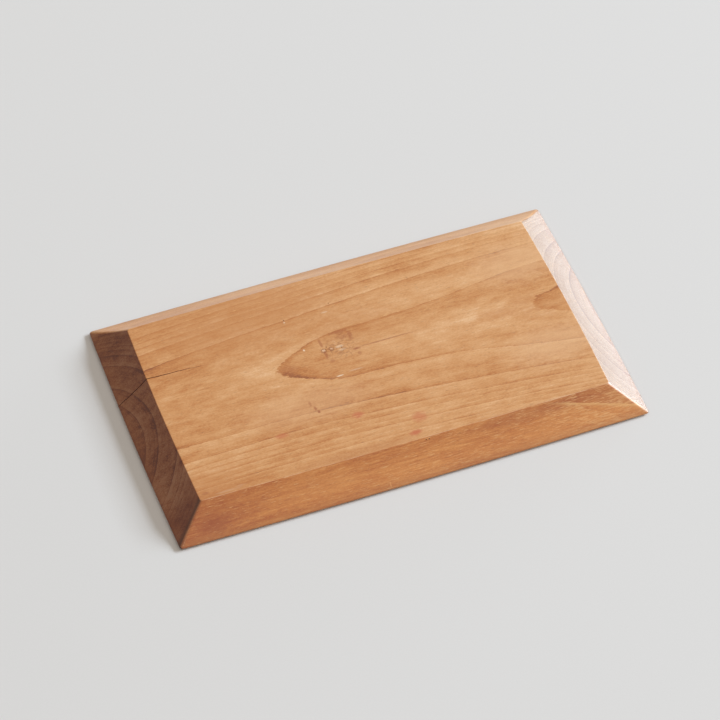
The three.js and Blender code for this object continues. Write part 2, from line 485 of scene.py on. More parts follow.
class Graph:
    """Short names for the nodes of one material or world."""

    def __init__(self, owner):
        owner.use_nodes = True
        self.tree = owner.node_tree
        self.tree.nodes.clear()

    def node(self, kind, inputs=None, **settings):
        made = self.tree.nodes.new(kind)
        for key, value in settings.items():
            setattr(made, key, value)
        for key, value in (inputs or {}).items():
            self.put(made.inputs[key], value)
        return made

    def put(self, socket, value):
        if isinstance(value, bpy.types.NodeSocket):
            self.tree.links.new(value, socket)
        elif value is not None:
            socket.default_value = value

    def math(self, operation, a, b=None):
        return self.node("ShaderNodeMath", {0: a, 1: b}, operation=operation).outputs[0]

    def vector(self, operation, a, b=None):
        made = self.node("ShaderNodeVectorMath", {0: a, 1: b}, operation=operation)
        return made.outputs["Value" if operation in ("LENGTH", "DOT_PRODUCT") else "Vector"]

    def split(self, vector):
        return self.node("ShaderNodeSeparateXYZ", {0: vector}).outputs

    def combine(self, x, y, z):
        return self.node("ShaderNodeCombineXYZ", {0: x, 1: y, 2: z}).outputs[0]

    def noise(self, vector, detail=NOISE_DETAIL, roughness=NOISE_ROUGHNESS, distortion=0.0):
        inputs = {
            "Vector": vector,
            "Scale": 1.0,
            "Detail": detail,
            "Roughness": roughness,
            "Distortion": distortion,
        }
        return self.node("ShaderNodeTexNoise", inputs).outputs["Fac"]

    def range(self, value, low, high, to_low=0.0, to_high=1.0, kind="SMOOTHSTEP"):
        inputs = {"Value": value, "From Min": low, "From Max": high, "To Min": to_low, "To Max": to_high}
        return self.node("ShaderNodeMapRange", inputs, interpolation_type=kind).outputs["Result"]

    def ramp(self, value, colours):
        """Evenly spaced colours from 0 to 1."""
        made = self.node("ShaderNodeValToRGB", {"Fac": value})
        bar = made.color_ramp
        places = np.linspace(0, 1, len(colours))
        for place in places[2:]:
            bar.elements.new(place)
        for element, place, colour in zip(bar.elements, places, colours):
            element.position = place
            element.color = colour
        return made.outputs["Color"]

    def mix(self, share, a, b, blend="MIX"):
        inputs = {MIX_SHARE: share, MIX_FIRST: a, MIX_SECOND: b}
        made = self.node("ShaderNodeMix", inputs, data_type="RGBA", blend_type=blend)
        return made.outputs[MIX_RESULT]

    def bump(self, height, strength, distance):
        inputs = {"Height": height, "Strength": strength, "Distance": distance}
        return self.node("ShaderNodeBump", inputs).outputs["Normal"]

    def surface(self, inputs):
        shader = self.node("ShaderNodeBsdfPrincipled", inputs)
        self.node("ShaderNodeOutputMaterial", {"Surface": shader.outputs[0]})


def place_in_mm(g):
    """Object coordinates in millimetres, the scale of grain and pores."""
    return g.vector("MULTIPLY", g.node("ShaderNodeTexCoord").outputs["Object"], (MM,) * 3)


# Wood. Lengths here are in millimetres, as growth rings are measured.

SURFACE = MM * TOP  # height of the serving face
PITH_DEPTH = -71  # height of the line that the rings run round, below the board
PITH_SIDE = 7  # and its place across the board, at PITH_MIDDLE
PITH_MIDDLE = -10
PITH_SWEEP = 5  # it bends this far to the front within PITH_REACH
PITH_REACH = 135
TAPER_MIDDLE = -38  # place along the board where the radii below hold
RIGHT_REACH = 160
RIGHT_GROWTH = 5.5  # the rings widen this much over RIGHT_REACH to the right
OUTER_GROWTH = -1.9  # less for the outer rings
OUTER_RADII = (104, 114)
LEFT_REACH = 92
LEFT_GROWTH = 1.35  # and narrow this much over LEFT_REACH to the left
INNER_GROWTH = 2.9  # more for the inner rings
INNER_RADII = (97, 83)
HEART_RADII = (96, 92)  # within these radii the rings also bend as the next two lines say
WAIST = (58, 60, 0.85)  # place along the board, reach, and how far they draw in there
SWELL = (-18, 34, -0.65)  # they swell round the knots
# Radius of each ring's outer edge and how dark its late wood is
GROWTH_RINGS = (
    (62, 0.8),
    (68, 0.8),
    (74.9, 0.9),
    (82.7, 0.9),
    (88.3, 0.95),
    (95.4, 1.0),
    (99.8, 0.75),
    (102.3, 0.4),
    (104.4, 0.35),
    (106.7, 0.6),
    (109.3, 0.4),
    (111.5, 0.6),
    (124, 0.8),
)
RING_STEP = 0.05  # from a ring's dark edge to the pale wood of the next year
LINE_WIDTH, LINE_DARK = 0.25, 0.27  # dark line at a ring's edge
LATE_WIDTH, LATE_DARK = 1.4, 0.17  # darker late wood inside the line
EARLY_WIDTH, EARLY_PALE = 1.2, 0.14  # pale porous wood outside it
RING_DRIFT, RING_RAGGEDNESS = 0.7, 0.45  # how far the edges stray, slowly and in small steps
LAYER_STRENGTH = 0.42  # thin lines along the rings
LAYERS_TO_MM = 1.6
LAYER_CHANGE = 0.006  # cycles to a millimetre along the board
FADING_LEVELS = (0.35, 0.65)  # the noise by which the rings fade here and there
FADING_STRENGTHS = (0.6, 1.15)
# Grain besides the rings: cycles to a millimetre along and across the board, and strength
BROAD_GRAIN = (
    (0.009, 0.028, 0.9),
    (0.022, 0.42, 0.32),
    (0.08, 0.18, 0.62),
)
FINE_GRAIN = (
    (0.03, 1.0, 0.24),
    (0.12, 2.2, 0.4),
    (0.7, 1.5, 0.6),
)
FRONT_GRAIN = (
    (0.03, 0.5, 0.6),
    (0.08, 1.2, 0.7),
)
GRAIN_SHIFT = 40
# Other noise: cycles to a millimetre along and across the board, and a shift that sets each apart
OUTLINE_NOISE = (0.35, 0.6, 0)
DRIFT_NOISE = (0.012, 0.03, 0)
RAGGED_NOISE = (0.16, 0.8, 0)
FADING_NOISE = (0.018, 0.06, 30)
PORE_NOISE = (0.3, 3.0, 20)
FLECK_NOISE = (0.2, 2.4, 60)
CLUSTER_NOISE = (0.03, 0.12, 80)
ARRIS_HIGHLIGHT_NOISE = (0.05, 0.3, 70)
FIBRE_NOISE = (0.12, 2.2, 0)
SWIRL_NOISE = (0.13, 0.19, 90)
KNOT_NOISE = (0.5, 0.7)
KNOT_SHIFT = 10  # to a millimetre of the knot's radius
# Octaves of a noise, and how strong the small ones are
EVEN = (3, 0.5)
ROUGH = (3, 0.6)
ROUGHER = (3, 0.65)
CLOUDY = (4, 0.6)
SWIRL_DISTORTION = 1.2
BASE_TONE = 0.56
RIGHT_TONE = 0.0006  # paler to the right, to a millimetre
# Contrast of the rings, the clouds and the fine figure on each bevel, against the serving face
LEFT_CONTRAST = (1.9, 2.4, 2.4)
RIGHT_CONTRAST = (1.7, 0.4, 3.0)
FRONT_CONTRAST = (0.5, 0.7, 1.1)
BACK_CONTRAST = (0.4, 0.8, 1.0)
# How far a face leans towards an end or a side, from none of that bevel's looks to all of them
END_NORMALS = (0.25, 0.6)
SIDE_NORMALS = (0.2, 0.5)
WALL_NORMALS = (0.85, 0.95)  # the walls of the drying check lean this far
HIP_NORMALS = (0.25, 0.1)  # an arris gets its painted highlight where it leans less than this towards a hip

PALE_WOOD = linear(236, 192, 146)
LIGHT_WOOD = linear(221, 168, 115)
MID_WOOD = linear(208, 148, 90)
DARK_WOOD = linear(190, 120, 58)
RING_LINE = linear(150, 84, 40)
WOOD_TONES = (RING_LINE, DARK_WOOD, MID_WOOD, LIGHT_WOOD, PALE_WOOD)
END_GRAIN = (0.42, 0.29, 0.25, 1)
DRY_END_AND_SHEEN = (0.37, 0.38, 0.42, 1)  # the right end is drier and paler; its pale, bluish tint also stands in for part of a painted sheen
OILED_FRONT = (0.895, 0.64, 0.325, 1)  # the front bevel is a deeper orange
PORE_BROWN = linear(120, 70, 38)
FLECK_GOLD = linear(230, 180, 120)
# pale for marks and the front ring, and also for painted highlights on the front arris and in the knots
PALE_AND_HIGHLIGHT_WHITE = linear(240, 218, 190)
# colour of the painted highlight along the left arris
ARRIS_HIGHLIGHT_ORANGE = linear(214, 130, 66)
STAIN_RED = linear(196, 104, 62)
# knot brown, also used for painted shade along the lower rim
KNOT_AND_SHADE_BROWN = linear(130, 66, 26)
SHADE_RED = linear(152, 70, 24)
PAINTED_ARRIS_HIGHLIGHT = 0.5  # how pale the painted highlight along the front arris is, and how strong along the left one
ARRIS_HIGHLIGHT_LEVELS = (0.35, 0.6)  # of its noise
RIM_SHADE_HEIGHTS = (1.5, 6)  # heights between which painted shade darkens the lower rim, near the floor
RIM_DARK = 0.3
HIP_GRIME = (1, 6)  # distances from the front hip between which the left end darkens
HIP_DARK = 0.7
# brown for the dark strip by the left end's front hip, and painted shade on upright walls in the drying
# check and holes
HIP_AND_SHADE_BROWN = linear(52, 27, 16)
SPLIT_HEIGHTS = (2, 2.6)  # upright walls above these are those of the drying check
PORE_LEVELS = (0.63, 0.74)  # of the noise, from no pore to a full one
PORE_DARK = 0.45
PORE_HEIGHT = -0.1
FIBRE_HEIGHT = 0.4
FIBRE_RANGE = (-0.1, 0.1)
WOOD_ROUGHNESS = (0.35, 0.44)  # over that range
WOOD_BUMP = (0.5, 0.0004)  # strength, and depth in metres
OIL_FILM = {"Specular IOR Level": 0.9, "Coat Weight": 0.3, "Coat Roughness": 0.4}
# Pale flecks: what each of these adds to their noise
FLECK_EARLY = 0.1
FLECK_FRONT = 0.06
FLECK_ARRIS = 0.1
FLECK_RIGHT = 0.0002  # to a millimetre along the board
FLECK_CLUSTERS = 0.16
FLECK_LEVELS = (0.66, 0.75)
FLECK_PALE = 0.55

# Places on the serving face
PIN_KNOTS = ((-22.9, 12.8, 1.7), (-18, 12.9, 1.6))  # place and radius
KNOT_DEPTH = 3  # this and the next three lines are in shares of a knot's radius
KNOT_RAGGEDNESS = 2.2
KNOT_RIM, KNOT_RIM_WIDTH = 0.8, 0.4
KNOT_CORE = (0.2, 0.6)
# the pale core of a knot is a painted glint
KNOT_RIM_DARK, KNOT_CORE_GLINT = 0.75, 0.5
KNOT_CLOUD = (-12, 13)
KNOT_CLOUD_REACH = (15, 14)
CLOUD_RAGGEDNESS, CLOUD_CORE = 1.0, 0.2
SWIRL_TURNS = 4
SWIRL_TURN = 0.5  # each runs up this far and down again
WISP_LEVELS, WISP_DARK = (0.03, 0.22), 0.45
GLINT_LEVELS, GLINT_PALE = (0.42, 0.5), 0.25
SPOT_RAGGEDNESS, SPOT_CORE = 0.8, 0.3
# Marks that don't follow the rings: place, reach along and across, strength
DARK_MARKS = (
    (-22.8, 19, 1.3, 5.5, 0.5),
    (-22.6, 9, 1.2, 5, 0.5),
    (-20.5, 3.5, 2.4, 2.2, 0.4),
    (-9, 24.2, 8, 2, 0.5),
    (-3.6, 19.5, 2.2, 5, 0.5),
    (-8.5, 20, 5, 3.4, 0.3),
    (-2.9, 3.8, 1.8, 2.2, 0.35),
    (-3.6, 7.8, 3.6, 1, 0.75),
    (16, 8.6, 27, 0.7, 0.5),
    (-48.5, 5.5, 8, 5.5, 0.3),
    (-44.8, -23.5, 1.2, 2.6, 0.35),
    (-42.9, -28, 1.2, 2.2, 0.6),
    (-41.7, -31, 1.2, 1.6, 0.75),
    (-114, 28.3, 20, 0.5, 0.6),
    (-97, 27.4, 6, 0.4, 0.4),
    (-125.5, -66.2, 3.5, 1.4, 0.35),
)
PALE_MARKS_AND_HIGHLIGHTS = (
    (-12.5, 13, 3.8, 1.4, 0.4),
    (-12, 10.2, 3.5, 1.1, 0.3),
    (-34, 17.4, 0.8, 1.1, 0.9),
    (-20.4, -9, 3, 0.7, 0.8),
    (-9, -7.6, 6, 0.8, 0.3),
    (-37.8, 42.5, 0.7, 0.8, 0.6),
    (-12, 42, 3, 0.9, 0.35),
    # the next two are painted highlights along the front arris
    (-112, -68.8, 10, 1, 0.16),
    (-104, -67.6, 5, 0.8, 0.14),
)
RED_MARKS = (
    (-68.6, -41, 6, 2.4, 0.6),
    (-21, -41.5, 5, 3.2, 0.8),
    (13.2, -55.4, 6.5, 5.2, 0.55),
    (6.8, -66, 5.5, 2.8, 0.85),
)
# Broad shades in the wood: place, reach and strength
RED_SHADES = (
    ((-146, -80, 9), (66, 26, 22), 0.42),
    ((-125, -82.5, 6.5), (15, 6, 6), 0.45),
    ((70, -74, 14.3), (46, 6, 6), 0.28),
    ((100, -73.4, 15), (24, 6, 6), 0.12),
    ((-30, -69, 17), (56, 5, 3), 0.14),
)
ORANGE_SHADES = (
    ((-66, 60, 17), (92, 50, 12), 0.5),
    ((-122, -66, 17), (44, 24, 8), 0.45),
    ((0, 27, 17), (42, 17, 8), 0.3),
    ((112, 0, 17), (22, 15, 8), 0.3),
    ((87, 4, 17), (19, 6, 8), 0.36),
    ((105, 10, 17), (14, 6, 8), 0.36),
    ((111, -0.5, 17), (8, 3.2, 8), 0.45),
)
PALE_SHADES = (
    ((112, 40, 17), (40, 24, 8), 0.4),
    ((112, -30, 17), (44, 22, 8), 0.4),
    ((-46, -24, 17), (56, 20, 8), 0.25),
    ((-60, -80, 9), (44, 9, 9), 0.2),
    ((-17.3, -87.6, 2.9), (0.6, 2.2, 2.2), 1.5),  # a scuff by the front rim
)
MARK_DEPTH = 4
# The ring edge that slants down the front bevel to its right hip
FRONT_RING_START = (91, 15.8)  # along the board, and height
FRONT_RING_FALL = 0.19
FRONT_RING_REACH = (84, 104)
FRONT_RING_RAGGEDNESS = 0.6
# Heights about that edge between which the dark and the pale side come in, and how strong they are
FRONT_RING_UPPER, FRONT_RING_DARK = (-0.15, 0.1), 0.3
FRONT_RING_LOWER, FRONT_RING_PALE = (-1.6, -0.1), 0.55
FRONT_RING_END = (0.05, -0.1)  # the pale side stops here


class Wood:
    """The fields that colour the plank: grain coordinates, rings and marks."""

    def __init__(self, g):
        self.g = g
        self.place = place_in_mm(g)
        self.x, self.y, self.z = g.split(self.place)
        self.ragged = self.wave(self.stretched(*OUTLINE_NOISE), 1, *EVEN)

    def stretched(self, along, across, shift=0):
        """Coordinates squeezed along the grain, in cycles to a millimetre."""
        moved = self.g.vector("ADD", self.place, (shift, shift, shift))
        return self.g.vector("MULTIPLY", moved, (along, across, across))

    def wave(self, vector, size, detail=NOISE_DETAIL, roughness=NOISE_ROUGHNESS):
        """Noise about zero."""
        g = self.g
        swing = g.math("SUBTRACT", g.noise(vector, detail, roughness), NOISE_MIDDLE)
        return g.math("MULTIPLY", swing, size)

    def away(self, centre, reach):
        """Distance from a place, in shares of a reach along each axis."""
        g = self.g
        return g.vector("LENGTH", g.vector("DIVIDE", g.vector("SUBTRACT", self.place, centre), reach))

    def spot(self, centre, reach, raggedness=SPOT_RAGGEDNESS, core=SPOT_CORE):
        """A soft blotch round a place, 1 in its middle and 0 outside."""
        g = self.g
        ragged = g.math("MULTIPLY", self.ragged, raggedness)
        return g.range(g.math("ADD", self.away(centre, reach), ragged), core, 1, 1, 0)

    def mark(self, x, y, along, across, strength):
        """A blotch in the serving face."""
        shape = self.spot((x, y, SURFACE), (along, across, MARK_DEPTH))
        return self.g.math("MULTIPLY", shape, strength)

    def from_front_hip(self):
        """Distance along the board's width from the hips of the front bevel."""
        g = self.g
        rise = g.math("MULTIPLY", g.math("SUBTRACT", self.z, SURFACE), SIDE_BEVEL_RUN / THICKNESS)
        return g.math("SUBTRACT", g.math("ADD", self.y, MM * (WIDTH / 2 - SIDE_BEVEL_RUN)), rise)

    def radius(self):
        """Distance from the pith, which bends a little to the front at both ends."""
        g = self.g
        bend = g.math("DIVIDE", g.math("SUBTRACT", self.x, PITH_MIDDLE), PITH_REACH)
        side = g.math("MULTIPLY", g.math("MULTIPLY", bend, bend), -PITH_SWEEP)
        pith = g.combine(self.x, g.math("ADD", side, PITH_SIDE), PITH_DEPTH)
        return g.vector("LENGTH", g.vector("SUBTRACT", self.place, pith))

    def bulge(self, middle, reach, size):
        """Full size at a place along the board, falling off within a reach."""
        g = self.g
        return g.range(g.math("ABSOLUTE", g.math("SUBTRACT", self.x, middle)), 0, reach, size, 0)

    def age(self):
        """Radius that the wood here has at TAPER_MIDDLE, so that a ring has one value along the board."""
        g = self.g
        radius = self.radius()
        along = g.math("SUBTRACT", self.x, TAPER_MIDDLE)
        right = g.math("DIVIDE", g.math("MAXIMUM", along, 0), RIGHT_REACH)
        left = g.math("DIVIDE", g.math("MINIMUM", along, 0), -LEFT_REACH)
        inner = g.range(radius, INNER_RADII[1], INNER_RADII[0], 1, 0)
        outer = g.range(radius, *OUTER_RADII)
        heart = g.range(radius, HEART_RADII[1], HEART_RADII[0], 1, 0)
        left_growth = g.math("ADD", g.math("MULTIPLY", inner, INNER_GROWTH), LEFT_GROWTH)
        right_growth = g.math("ADD", g.math("MULTIPLY", outer, OUTER_GROWTH), RIGHT_GROWTH)
        age = g.math("SUBTRACT", radius, g.math("MULTIPLY", right, right_growth))
        age = g.math("ADD", age, g.math("MULTIPLY", left, left_growth))
        bends = g.math("ADD", self.bulge(*WAIST), self.bulge(*SWELL))
        age = g.math("ADD", age, g.math("MULTIPLY", heart, bends))
        age = g.math("ADD", age, self.wave(self.stretched(*DRIFT_NOISE), RING_DRIFT))
        return g.math("ADD", age, self.wave(self.stretched(*RAGGED_NOISE), RING_RAGGEDNESS, *ROUGH))

    def fade(self, distance, width, strength):
        """Full strength at a ring's edge, falling off over a width."""
        g = self.g
        return g.math("MULTIPLY", g.math("EXPONENT", g.math("DIVIDE", distance, -width)), strength)

    def rings(self, age):
        """Late wood, dark up to each ring's edge, and early wood, pale and porous outside it."""
        g = self.g
        late, early = 0, 0
        for edge, dark in GROWTH_RINGS:
            inside = g.math("SUBTRACT", edge, age)
            share = g.range(inside, -RING_STEP, 0)
            depth = g.math("MAXIMUM", inside, 0)
            line = self.fade(depth, LINE_WIDTH, LINE_DARK)
            band = self.fade(depth, LATE_WIDTH, LATE_DARK)
            shade = g.math("MULTIPLY", g.math("ADD", line, band), dark)
            late = g.math("ADD", g.math("MULTIPLY", shade, share), late)
            pale = self.fade(g.math("MAXIMUM", g.math("MULTIPLY", inside, -1), 0), EARLY_WIDTH, 1)
            early = g.math("ADD", g.math("MULTIPLY", pale, g.math("SUBTRACT", 1, share)), early)
        return late, early

    def ring_figure(self, late, early):
        """Light and dark of the rings, which fade here and there."""
        g = self.g
        uneven = g.range(g.noise(self.stretched(*FADING_NOISE)), *FADING_LEVELS, *FADING_STRENGTHS)
        return g.math("SUBTRACT", g.math("MULTIPLY", early, EARLY_PALE), g.math("MULTIPLY", late, uneven))

    def grain(self, layers, total=0):
        """The sum of several grains, about zero."""
        for along, across, strength in layers:
            wave = self.wave(self.stretched(along, across, GRAIN_SHIFT), strength, *ROUGH)
            total = self.g.math("ADD", wave, total)
        return total

    def fine_figure(self, age):
        """Light and dark of the thin layers and fibres, about zero."""
        g = self.g
        out = g.math("MULTIPLY", age, LAYERS_TO_MM)
        along = g.math("MULTIPLY", self.x, LAYER_CHANGE)
        layers = self.wave(g.combine(out, along, 0), LAYER_STRENGTH, *ROUGHER)
        return self.grain(FINE_GRAIN, layers)


class Facing:
    """How far a surface belongs to each bevel, to an arris with a painted highlight or to an upright wall.
    """

    def __init__(self, g):
        x, y, _ = g.split(g.node("ShaderNodeNewGeometry").outputs["Normal"])
        end_low, end_high = END_NORMALS
        side_low, side_high = SIDE_NORMALS
        self.g = g
        self.left = g.range(x, -end_low, -end_high)
        self.right = g.range(x, end_low, end_high)
        self.front = g.range(y, -side_low, -side_high)
        self.back = g.range(y, side_low, side_high)
        self.upright = g.range(g.math("ABSOLUTE", y), *WALL_NORMALS)
        self.left_arris = self.arris(self.left, y)
        self.front_arris = self.arris(self.front, x)

    def contrast(self, kind):
        """Strength of the rings (0), clouds (1) or fine figure (2) here, against the serving face."""
        g = self.g
        total = 1
        bevels = (
            (self.left, LEFT_CONTRAST),
            (self.right, RIGHT_CONTRAST),
            (self.front, FRONT_CONTRAST),
            (self.back, BACK_CONTRAST),
        )
        for share, contrasts in bevels:
            total = g.math("ADD", g.math("MULTIPLY", share, contrasts[kind] - 1), total)
        return total

    def arris(self, share, other):
        """The rounded edge where a bevel's share is about a half, away from the corners."""
        g = self.g
        half = g.math("MULTIPLY", share, g.math("SUBTRACT", 1, share))
        level = g.range(g.math("ABSOLUTE", other), *HIP_NORMALS)
        return g.math("MULTIPLY", g.math("MULTIPLY", half, 4), level)

    def tint(self, colour):
        """The colour as it shows on each bevel."""
        g = self.g
        # the right end's tint holds part of its painted sheen
        for share, shade in ((self.left, END_GRAIN), (self.right, DRY_END_AND_SHEEN), (self.front, OILED_FRONT)):
            colour = g.mix(share, colour, g.mix(1.0, colour, shade, "MULTIPLY"))
        return colour


def plank_wood():
    """Flat-sawn wood, solid through the plank, so its faces and ends show the same rings."""
    finish = bpy.data.materials.new("flat_sawn_wood")
    g = Graph(finish)
    wood = Wood(g)
    facing = Facing(g)
    age = wood.age()
    late, early = wood.rings(age)
    tone = g.math("ADD", g.math("MULTIPLY", wood.x, RIGHT_TONE), BASE_TONE)
    figures = (wood.ring_figure(late, early), wood.grain(BROAD_GRAIN), wood.fine_figure(age))
    for kind, figure in enumerate(figures):
        tone = g.math("ADD", tone, g.math("MULTIPLY", figure, facing.contrast(kind)))
    tone = g.math("ADD", tone, g.math("MULTIPLY", wood.grain(FRONT_GRAIN), facing.front))
    colour = g.ramp(tone, WOOD_TONES)

    pores = g.range(g.noise(wood.stretched(*PORE_NOISE)), *PORE_LEVELS)
    colour = g.mix(g.math("MULTIPLY", pores, PORE_DARK), colour, PORE_BROWN)
    colour = knots(g, wood, colour)
    colour = marks(g, wood, colour)
    colour = front_ring(g, wood, facing, colour)
    colour = facing.tint(colour)
    colour = flecks(g, wood, facing, early, colour)
    # painted highlights: pale along the front arris, orange along the left one
    arris_highlight = g.range(g.noise(wood.stretched(*ARRIS_HIGHLIGHT_NOISE)), *ARRIS_HIGHLIGHT_LEVELS, 0, PAINTED_ARRIS_HIGHLIGHT)
    colour = g.mix(g.math("MULTIPLY", facing.front_arris, arris_highlight), colour, PALE_AND_HIGHLIGHT_WHITE)
    colour = g.mix(g.math("MULTIPLY", facing.left_arris, PAINTED_ARRIS_HIGHLIGHT), colour, ARRIS_HIGHLIGHT_ORANGE)
    # painted shade along the lower rim, near the floor
    colour = g.mix(g.range(wood.z, *RIM_SHADE_HEIGHTS, RIM_DARK, 0), colour, KNOT_AND_SHADE_BROWN)
    hip = g.range(wood.from_front_hip(), *HIP_GRIME, HIP_DARK, 0)
    colour = g.mix(g.math("MULTIPLY", hip, facing.left), colour, HIP_AND_SHADE_BROWN)
    # painted shade on upright walls: the drying check's, and those of the holes below
    split = g.math("MULTIPLY", facing.upright, g.range(wood.z, *SPLIT_HEIGHTS))
    colour = g.mix(split, colour, HIP_AND_SHADE_BROWN)

    fibres = wood.wave(wood.stretched(*FIBRE_NOISE), FIBRE_HEIGHT, *ROUGH)
    height = g.math("ADD", fibres, g.math("MULTIPLY", pores, PORE_HEIGHT))
    normal = g.bump(height, *WOOD_BUMP)
    rough = g.range(fibres, *FIBRE_RANGE, *WOOD_ROUGHNESS, "LINEAR")
    g.surface({"Base Color": colour, "Roughness": rough, "Normal": normal, **OIL_FILM})
    return finish


def flecks(g, wood, facing, early, colour):
    """Pale dashes where the saw opened the vessels, most of them in early wood and on the front bevel."""
    level = g.noise(wood.stretched(*FLECK_NOISE))
    causes = (
        (early, FLECK_EARLY),
        (facing.front, FLECK_FRONT),
        (facing.front_arris, FLECK_ARRIS),
        (wood.x, FLECK_RIGHT),
    )
    for cause, strength in causes:
        level = g.math("ADD", level, g.math("MULTIPLY", cause, strength))
    level = g.math("ADD", level, wood.wave(wood.stretched(*CLUSTER_NOISE), FLECK_CLUSTERS))
    share = g.range(level, *FLECK_LEVELS, 0, FLECK_PALE)
    return g.mix(g.math("MULTIPLY", share, g.math("SUBTRACT", 1, facing.left)), colour, FLECK_GOLD)


def knots(g, wood, colour):
    """Two pin knots in the serving face, in a swirl of dark wisps and bright glints. The glints and the
    pale knot cores are painted highlights.
    """
    reach = (*KNOT_CLOUD_REACH, MARK_DEPTH)
    cloud = wood.spot((*KNOT_CLOUD, SURFACE), reach, CLOUD_RAGGEDNESS, CLOUD_CORE)
    swirl = g.noise(wood.stretched(*SWIRL_NOISE), *CLOUDY, SWIRL_DISTORTION)
    bands = g.math("PINGPONG", g.math("MULTIPLY", swirl, SWIRL_TURNS), SWIRL_TURN)
    wisps = g.range(bands, *WISP_LEVELS, WISP_DARK, 0)
    glints = g.range(bands, *GLINT_LEVELS, 0, GLINT_PALE)
    colour = g.mix(g.math("MULTIPLY", wisps, cloud), colour, KNOT_AND_SHADE_BROWN)
    colour = g.mix(g.math("MULTIPLY", glints, cloud), colour, PALE_AND_HIGHLIGHT_WHITE)
    for x, y, size in PIN_KNOTS:
        ragged = wood.wave(wood.stretched(*KNOT_NOISE, KNOT_SHIFT * size), KNOT_RAGGEDNESS, *ROUGHER)
        away = g.math("ADD", wood.away((x, y, SURFACE), (size, size, KNOT_DEPTH * size)), ragged)
        off_rim = g.math("ABSOLUTE", g.math("SUBTRACT", away, KNOT_RIM))
        rim = g.range(off_rim, 0, KNOT_RIM_WIDTH, KNOT_RIM_DARK, 0)
        core = g.range(away, *KNOT_CORE, KNOT_CORE_GLINT, 0)
        colour = g.mix(core, colour, PALE_AND_HIGHLIGHT_WHITE)
        colour = g.mix(rim, colour, KNOT_AND_SHADE_BROWN)
    return colour


def marks(g, wood, colour):
    """Blotches, scars and specks, and two painted highlights along the front arris."""
    for shades, tint in ((RED_SHADES, SHADE_RED), (ORANGE_SHADES, DARK_WOOD), (PALE_SHADES, PALE_WOOD)):
        for centre, reach, strength in shades:
            colour = g.mix(g.math("MULTIPLY", wood.spot(centre, reach), strength), colour, tint)
    for places, tint in ((DARK_MARKS, SHADE_RED), (PALE_MARKS_AND_HIGHLIGHTS, PALE_AND_HIGHLIGHT_WHITE), (RED_MARKS, STAIN_RED)):
        for place in places:
            colour = g.mix(wood.mark(*place), colour, tint)
    return colour


def front_ring(g, wood, facing, colour):
    """A ring's edge on the front bevel, dark above and pale below."""
    fall = g.math("MULTIPLY", g.math("SUBTRACT", wood.x, FRONT_RING_START[0]), FRONT_RING_FALL)
    above = g.math("ADD", g.math("SUBTRACT", wood.z, FRONT_RING_START[1]), fall)
    above = g.math("ADD", above, g.math("MULTIPLY", wood.ragged, FRONT_RING_RAGGEDNESS))
    here = g.math("MULTIPLY", facing.front, g.range(wood.x, *FRONT_RING_REACH))
    dark = g.range(above, *FRONT_RING_UPPER, 0, FRONT_RING_DARK)
    pale = g.range(above, *FRONT_RING_LOWER, 0, FRONT_RING_PALE)
    pale = g.math("MULTIPLY", pale, g.range(above, *FRONT_RING_END))
    colour = g.mix(g.math("MULTIPLY", dark, here), colour, SHADE_RED)
    return g.mix(g.math("MULTIPLY", pale, here), colour, PALE_AND_HIGHLIGHT_WHITE)


# Rubber and steel. Noise is in cycles to a millimetre, and a bump is its strength and its depth in metres.

RUBBER_BLACK = linear(30, 29, 28)
RUBBER_DUST = linear(58, 56, 53)
RUBBER_ROUGHNESS = (0.7, 0.88)
RUBBER_BUMP = (0.2, 0.0001)
DUST_NOISE = (0.5, 0.5, 0.5)
SKIN_NOISE = (6, 6, 6)
ZINC_DARK = linear(176, 178, 180)
ZINC_LIGHT = linear(208, 207, 203)
ZINC_ROUGHNESS = (0.26, 0.42)
ZINC_BUMP = (0.12, 0.00005)
BLOOM_NOISE = (0.8, 0.8, 0.8)
SCRATCH_NOISE = (0.6, 9, 9)


def foot_rubber():
    """Matt black rubber with a little dust."""
    finish = bpy.data.materials.new("black_rubber")
    g = Graph(finish)
    place = place_in_mm(g)
    dust = g.noise(g.vector("MULTIPLY", place, DUST_NOISE), *CLOUDY)
    skin = g.noise(g.vector("MULTIPLY", place, SKIN_NOISE), *EVEN)
    colour = g.mix(dust, RUBBER_BLACK, RUBBER_DUST)
    normal = g.bump(skin, *RUBBER_BUMP)
    rough = g.range(dust, *NOISE_RANGE, *RUBBER_ROUGHNESS, "LINEAR")
    g.surface({"Base Color": colour, "Roughness": rough, "Normal": normal})
    return finish


def fastener_steel():
    """Zinc-plated steel, clouded and finely scratched."""
    finish = bpy.data.materials.new("zinc_steel")
    g = Graph(finish)
    place = place_in_mm(g)
    bloom = g.noise(g.vector("MULTIPLY", place, BLOOM_NOISE), *CLOUDY)
    scratches = g.noise(g.vector("MULTIPLY", place, SCRATCH_NOISE), *ROUGH)
    colour = g.mix(bloom, ZINC_DARK, ZINC_LIGHT)
    normal = g.bump(scratches, *ZINC_BUMP)
    rough = g.range(bloom, *NOISE_RANGE, *ZINC_ROUGHNESS, "LINEAR")
    g.surface({"Base Color": colour, "Roughness": rough, "Metallic": 1.0, "Normal": normal})
    return finish


# Stage

FLOOR_REACH = 30.0
FLOOR_DARK = linear(217, 217, 216)
FLOOR_LIGHT = linear(221, 221, 220)
FLOOR_FINISH = {"Roughness": 0.9, "Specular IOR Level": 0.1}
FLOOR_NOISE = (900, 900, 900)  # cycles to a metre
WINDOW_DISTANCE = 8.0
DAYLIGHT = (0.9, 1.0, 1.11)
HORIZON = (0.94, 1.0, 1.07)
